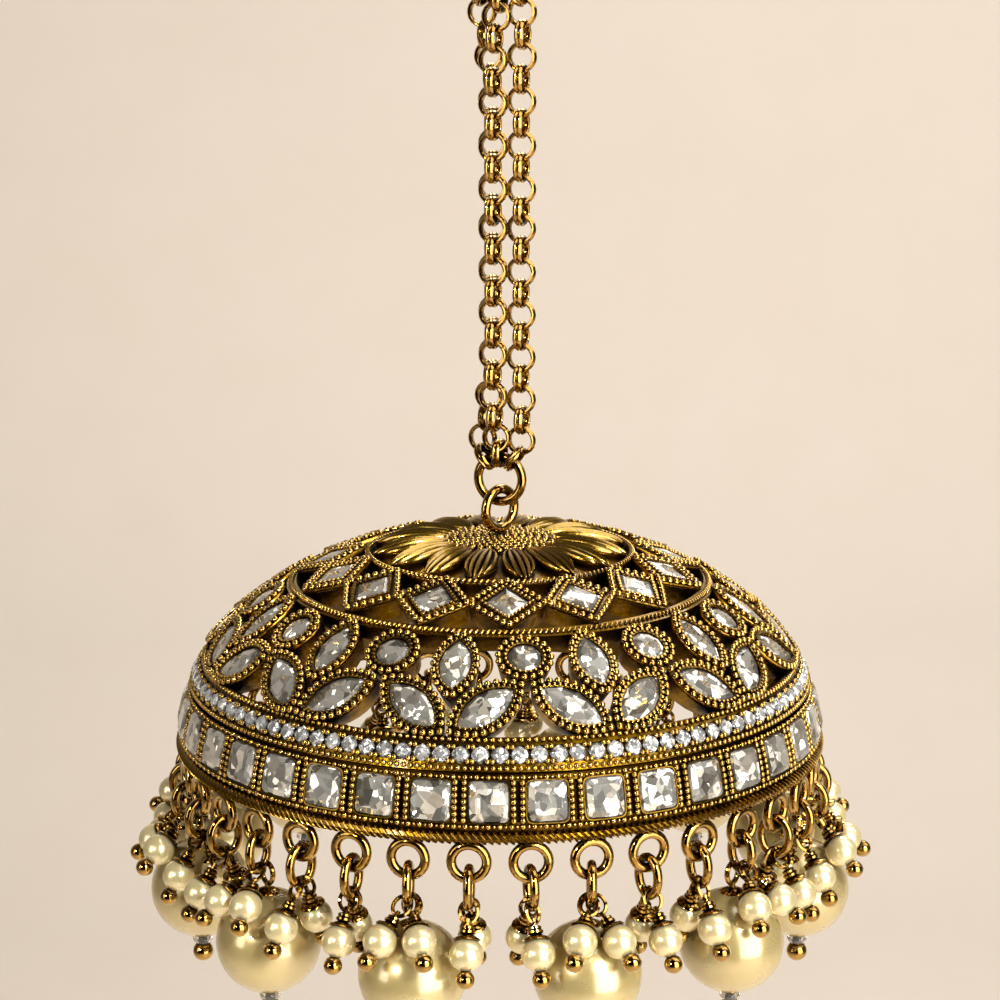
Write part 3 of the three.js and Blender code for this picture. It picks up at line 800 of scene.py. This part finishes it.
def strand_places(plan, centre, count, upwards):
    """Places of the links from a ring, upwards 1 from the connector and -1 from the top ring."""
    pitch = (STRAND_HEIGHT - 2 * plan["second"] - LOOSE_PITCH) / (LINKS - 4)
    ring = Matrix.Translation((0, 0, centre)) @ turned_by("Z", JUMP_TURN)
    places = [ring @ turned_by("Y", plan["lean"][0] * upwards)
              @ Matrix.Translation((0, 0, JUMP_RADIUS * upwards))
              @ turned_by("X", plan["tip"] * upwards)
              @ Matrix.Translation((0, 0, END_REACH * upwards)) @ turned_by("Z", 90)]
    for step in range(count - 1):
        across = plan["across"][min(step, len(plan["across"]) - 1)]
        back = plan["back"][min(step, len(plan["back"]) - 1)]
        height = (plan["second"] + step * pitch) * upwards
        lean = plan["lean"][1] * upwards if step == 0 else 0
        places.append(ring @ Matrix.Translation((across, back, height))
                      @ turned_by("Y", lean) @ turned_by("Z", step % 2 * 90))
    return places


for plan in STRANDS:
    lower = strand_places(plan, CONNECTOR_CENTRE, LOWER_LINKS, 1)
    upper = strand_places(plan, TOP_CENTRE, LINKS - LOWER_LINKS, -1)
    strand = f"chain_{plan['name']}"
    gather(strand, [(rolo_link(), lower + upper, 0)], [wire_gold], "hanger",
           stands_for=[f"{strand}_lower", f"{strand}_upper"])

# %% [markdown]
# A jump ring is one turn of a coil cut from a rod, so its ends meet a little out of line. It is
# spun not quite full round, with a slight drift sideways, and its two ends are closed.

# %% Jump rings
JUMP_DRIFT, JUMP_ROUND = 0.16, 357


def jump_ring(radius=JUMP_RADIUS, wire=JUMP_WIRE, cut=52, steps=64, sides=16):
    """A cut ring that stands in the XZ plane, with its cut at an angle up from the right."""
    shape = bmesh.new()
    section = bmesh.ops.create_circle(shape, segments=sides, radius=wire, cap_ends=True)["verts"]
    bmesh.ops.translate(shape, verts=section, vec=(radius, -JUMP_DRIFT / 2, 0))
    bmesh.ops.rotate(shape, verts=section, cent=(0, 0, 0),
                     matrix=Matrix.Rotation(radians(-cut), 3, "Y"))
    bmesh.ops.spin(shape, geom=list(shape.faces), cent=(0, 0, 0), axis=(0, -1, 0),
                   angle=radians(JUMP_ROUND), dvec=(0, JUMP_DRIFT / steps, 0), steps=steps,
                   use_duplicate=False)
    bmesh.ops.holes_fill(shape, edges=[edge for edge in shape.edges if edge.is_boundary])
    bmesh.ops.recalc_face_normals(shape, faces=shape.faces)
    return shape


for name, centre in (("connector_ring", CONNECTOR_CENTRE), ("top_ring", TOP_CENTRE)):
    place = Matrix.Translation((0, 0, centre)) @ turned_by("Z", JUMP_TURN)
    gather(f"{name}_wire", [(jump_ring(), [place], 0)], [wire_gold], "hanger",
           stands_for=[name])

# %% [markdown]
# ## Fringe
# From each eyelet hangs an oval link, and from it two small pearls on wire pins. Above its pearl a
# pin carries a dished cap, is wound twice, and ends in a loop through the link. Below the pearl it
# ends in a ball. Each pearl has a bench at its middle, with Z along its pin to the loop's hold.

# %% Places of the small drops
LINK_CENTRE = -4.08
LINK_RADIUS, LINK_WIRE, LINK_NARROW = 1.72, 0.41, 0.76
HOOK_HEIGHT = -5.22
LARGE_EVERY, LARGE_FIRST = 3, 2
BEFORE, BEHIND, RESTING = (0, 2.4, -9.2), (0.35, -1.3, -9.1), (1.75, 3.15, -8.1)
SWAY_TURN, SWAY_BEFORE, SWAY_BEHIND, SWAY_RESTING = 2.4, 0.6, -0.35, 0.2
LINK_SWAY, HOOKS_APART = 14, 0.3
LOOP_SPIN, SPIN_EACH_DROP, SPIN_EACH_PEARL = 40, 1.7, 2.1
SMALL_PEARL = 1.5
LOOP_RADIUS, LOOP_WIRE = 0.95, 0.19


def small_pearl_spots(step, swing):
    """Where the two small pearls of a drop hang, as (aside, out from the eyelet, height)."""
    if step % LARGE_EVERY == LARGE_FIRST:
        aside, out, height = RESTING
        return [(side * aside + swing * SWAY_RESTING, out, height + side * swing * SWAY_RESTING)
                for side in (-1, 1)]
    away = 1 if step % LARGE_EVERY == 0 else -1
    return [(BEFORE[0] + swing * SWAY_BEFORE, *BEFORE[1:]),
            (away * BEHIND[0] + swing * SWAY_BEHIND, *BEHIND[1:])]


def pin_bench(middle, hook):
    """A bench at a pearl's middle with Z to the hook and X level, and the distance between them."""
    upwards = (hook - middle).normalized()
    level = Vector((1, 0, 0)) - upwards * upwards.x
    level.normalize()
    bench = Matrix((level, upwards.cross(level), upwards)).transposed().to_4x4()
    bench.translation = middle
    return bench, (hook - middle).length


oval_places, pearl_places, loop_places = [], [], []
for step in range(EYELETS):
    swing = sin(step * SWAY_TURN)
    oval_places.append(round_rim(step) @ Matrix.Translation((0, -EYELET_OUT, LINK_CENTRE))
                       @ turned_by("Z", 90 + LINK_SWAY * swing))
    for number, (aside, out, height) in enumerate(small_pearl_spots(step, swing)):
        middle = Vector((aside, -EYELET_OUT - out, height))
        hook = Vector((0, -EYELET_OUT + (number - 0.5) * HOOKS_APART, HOOK_HEIGHT))
        bench, reach = pin_bench(middle, hook)
        spin = turned_by("Z", LOOP_SPIN * sin(step * SPIN_EACH_DROP + number * SPIN_EACH_PEARL))
        pearl_places.append(round_rim(step) @ bench)
        loop_places.append(round_rim(step) @ bench
                           @ Matrix.Translation((0, 0, reach - LOOP_RADIUS)) @ spin)
print("oval links", len(oval_places), "small pearls", len(pearl_places))

# %% Their shapes
def raised(shape, height):
    """The same shape, moved up."""
    bmesh.ops.translate(shape, verts=shape.verts, vec=(0, 0, height))
    return shape


def lying_ring(radius, wire, height, steps=14, sides=6):
    """A ring of wire that lies level at a height, as one turn of a coil does."""
    return raised(tipped(wire_ring(radius, wire, steps, sides), 90), height)


cap = spun([(0.0, 1.68), (0.5, 1.7), (1.12, 1.4), (1.2, 1.24), (1.08, 1.18), (0.0, 1.34)], steps=14)
shank = spun([(0.0, 1.4), (0.2, 1.4), (0.2, 3.05), (0.0, 3.05)], steps=8)
pin_end = raised(ball((0.83, 0.83, 0.81), segments=14, rings=10), -2.12)
pin_loop = wire_ring(LOOP_RADIUS, LOOP_WIRE, steps=18, sides=6, narrow=0.8)
oval_link = wire_ring(LINK_RADIUS, LINK_WIRE, steps=28, sides=10, narrow=LINK_NARROW)
gather("fringe_links", [
    (oval_link, oval_places, 0),
    (pin_loop, loop_places, 0),
    (cap, pearl_places, 0),
    (lying_ring(0.52, 0.2, 1.92), pearl_places, 0),
    (lying_ring(0.42, 0.19, 2.27), pearl_places, 0),
    (shank, pearl_places, 0),
    (pin_end, pearl_places, 0),
], [wire_gold], "pendant")
small_pearl = ball((SMALL_PEARL, SMALL_PEARL, SMALL_PEARL * 0.98), segments=24, rings=16)
gather("fringe_small_pearls", [(small_pearl, pearl_places, 0)], [small_pearl_skin], "pendant",
       stands_for=[f"drop_{step + 1:02d}" for step in range(EYELETS)])

# %% [markdown]
# A large pearl hangs on a headpin of its own, looped through the same oval link. A small clear bead
# keeps the pearl off the ball at the pin's end.

# %% Large pearls
LARGE_RADIUS, LARGE_OUT, LARGE_CENTRE = 4.75, 29.4, -12.7
HEADPIN_LOOP, HEADPIN_WIRE = 6.35, 0.24
large_places = [round_rim(step) @ Matrix.Translation((0, -LARGE_OUT, LARGE_CENTRE))
                for step in range(LARGE_FIRST, EYELETS, LARGE_EVERY)]
headpin = spun([(0.0, -5.6), (0.3, -5.6), (0.3, 5.5), (0.0, 5.5)], steps=10)
headpin_cap = spun([(0.0, 4.95), (0.6, 4.95), (1.15, 4.7), (1.2, 4.55), (1.0, 4.5), (0.0, 4.6)],
                   steps=20)
headpin_loop = raised(wire_ring(LOOP_RADIUS, HEADPIN_WIRE, steps=20, sides=8, narrow=0.8), HEADPIN_LOOP)
headpin_end = raised(ball((0.98, 0.98, 0.98), segments=20, rings=14), -6.5)
glass_bead = raised(ball((0.95, 0.95, 0.62), segments=20, rings=12), -5.2)
large_pearl = ball((LARGE_RADIUS, LARGE_RADIUS, LARGE_RADIUS), segments=48, rings=32)
gather("fringe_large_pearls", [(large_pearl, large_places, 0)], [large_pearl_skin], "pendant",
       stands_for=[f"pearl_{step + 1:02d}" for step in range(len(large_places))])
gather("fringe_headpins", [
    (headpin, large_places, 0),
    (headpin_cap, large_places, 0),
    (headpin_loop, large_places, 0),
    (headpin_end, large_places, 0),
], [wire_gold], "pendant")
gather("fringe_glass_beads", [(glass_bead, large_places, 0)], [clear_glass], "pendant")

# %% [markdown]
# ## Floor, light and camera
# The jewel hangs above a pale floor that curves up into a wall behind it. A large soft lamp to the
# right and front is the key, a weaker one fills from the left, a small one behind lights the edges,
# and one above washes the wall. Two small ones in front put a point of light on each granule. The
# room is dark on the camera's side, so that polished metal has something dark to mirror. The floor
# is matt card, whose fibres vary its colour a little. The camera looks about 12 degrees down at the
# bell through a long lens, so that the crown shows above the band.

# %% Sweep
FLOOR, FLOOR_WIDTH = -0.42, 3.2
sweep_shape = bmesh.new()
path = [(-1.2, FLOOR), (0.55, FLOOR), (0.72, FLOOR + 0.03), (0.85, FLOOR + 0.12), (0.9, FLOOR + 0.28),
        (0.9, FLOOR + 1.6)]
line = [sweep_shape.verts.new((-FLOOR_WIDTH / 2, y, z)) for y, z in path]
for start, end in zip(line, line[1:]):
    sweep_shape.edges.new((start, end))
grown = bmesh.ops.extrude_edge_only(sweep_shape, edges=list(sweep_shape.edges))["geom"]
bmesh.ops.translate(sweep_shape, vec=(FLOOR_WIDTH, 0, 0),
                    verts=[part for part in grown if isinstance(part, bmesh.types.BMVert)])
bmesh.ops.recalc_face_normals(sweep_shape, faces=sweep_shape.faces)
sweep_mesh = bpy.data.meshes.new("sweep")
sweep_shape.to_mesh(sweep_mesh)
sweep_shape.free()
sweep_mesh.shade_smooth()
sweep = bpy.data.objects.new("sweep", sweep_mesh)
bpy.context.scene.collection.objects.link(sweep)
paper, paper_place = new_material("matt_card")
fibre = add_node(paper, "ShaderNodeTexNoise",
                 {"Vector": paper_place, "Scale": per_metre(40), "Detail": 5.0})
paper_colour = add_node(paper, "ShaderNodeMix",
                        {0: fibre.outputs["Fac"], MIX_A: linear("#EEE1D3"), MIX_B: linear("#F2E7DB")},
                        data_type="RGBA")
finish_with(paper, add_node(paper, "ShaderNodeBsdfPrincipled",
                            {"Base Color": paper_colour.outputs[MIX_RESULT], "Roughness": 0.9}))
sweep_mesh.materials.append(paper)

# %% Lamps
def lamp(name, place, target, size, power, colour):
    """A soft lamp of a width and height that faces a target."""
    light = bpy.data.lights.new(name, "AREA")
    light.shape = "RECTANGLE"
    light.size, light.size_y = size
    light.energy, light.color = power, linear(colour)[:3]
    holder = bpy.data.objects.new(name, light)
    holder.location = place
    holder.rotation_euler = (Vector(target) - Vector(place)).to_track_quat("-Z", "Y").to_euler()
    bpy.context.scene.collection.objects.link(holder)


BELL_MIDDLE = (0, 0, -0.065)
lamp("key", (0.44, -0.54, 0.06), BELL_MIDDLE, (0.62, 0.85), 7.6, "#FFFDF8")
lamp("point_right", (0.24, -0.42, 0.24), BELL_MIDDLE, (0.05, 0.05), 2.4, "#FFFDF8")
lamp("point_left", (-0.3, -0.42, 0.14), BELL_MIDDLE, (0.05, 0.05), 1.1, "#FFFBF4")
lamp("fill", (-0.5, -0.3, 0.08), BELL_MIDDLE, (0.2, 0.4), 0.8, "#FFFBF4")
lamp("edge", (0.15, 0.4, 0.35), BELL_MIDDLE, (0.25, 0.25), 1.2, "#FFFDF8")
lamp("wall_wash", (0.3, 0.1, 0.42), (0, 0.9, -0.12), (0.6, 0.6), 3.1, "#FFFDF8")
world = bpy.data.worlds.new("room")
bpy.context.scene.world = world
world.use_nodes = True
room_light = world.node_tree.nodes["Background"]
direction = add_node(world, "ShaderNodeTexCoord")
parted = add_node(world, "ShaderNodeSeparateXYZ", {"Vector": direction.outputs["Generated"]})
depth_share = add_node(world, "ShaderNodeMapRange",
                       {"Value": parted.outputs["Y"], "From Min": -0.6, "From Max": 0.6})
room_colour = add_node(world, "ShaderNodeMix",
                       {0: depth_share.outputs["Result"], MIX_A: linear("#36240F"),
                        MIX_B: linear("#FFF0DE")}, data_type="RGBA")
world.node_tree.links.new(room_colour.outputs[MIX_RESULT], room_light.inputs["Color"])
room_light.inputs["Strength"].default_value = 0.2
bpy.context.scene.view_settings.view_transform = "Standard"

# %% Camera
camera_data = bpy.data.cameras.new("camera")
camera_data.lens = 89.35
camera_data.sensor_width = 36
camera = bpy.data.objects.new("camera", camera_data)
camera.location = (0, -0.2306, -0.00084)
camera.rotation_euler = (radians(77.72), 0, 0)
bpy.context.scene.collection.objects.link(camera)
bpy.context.scene.camera = camera

# %% A last update of the scene
bpy.context.view_layer.update()
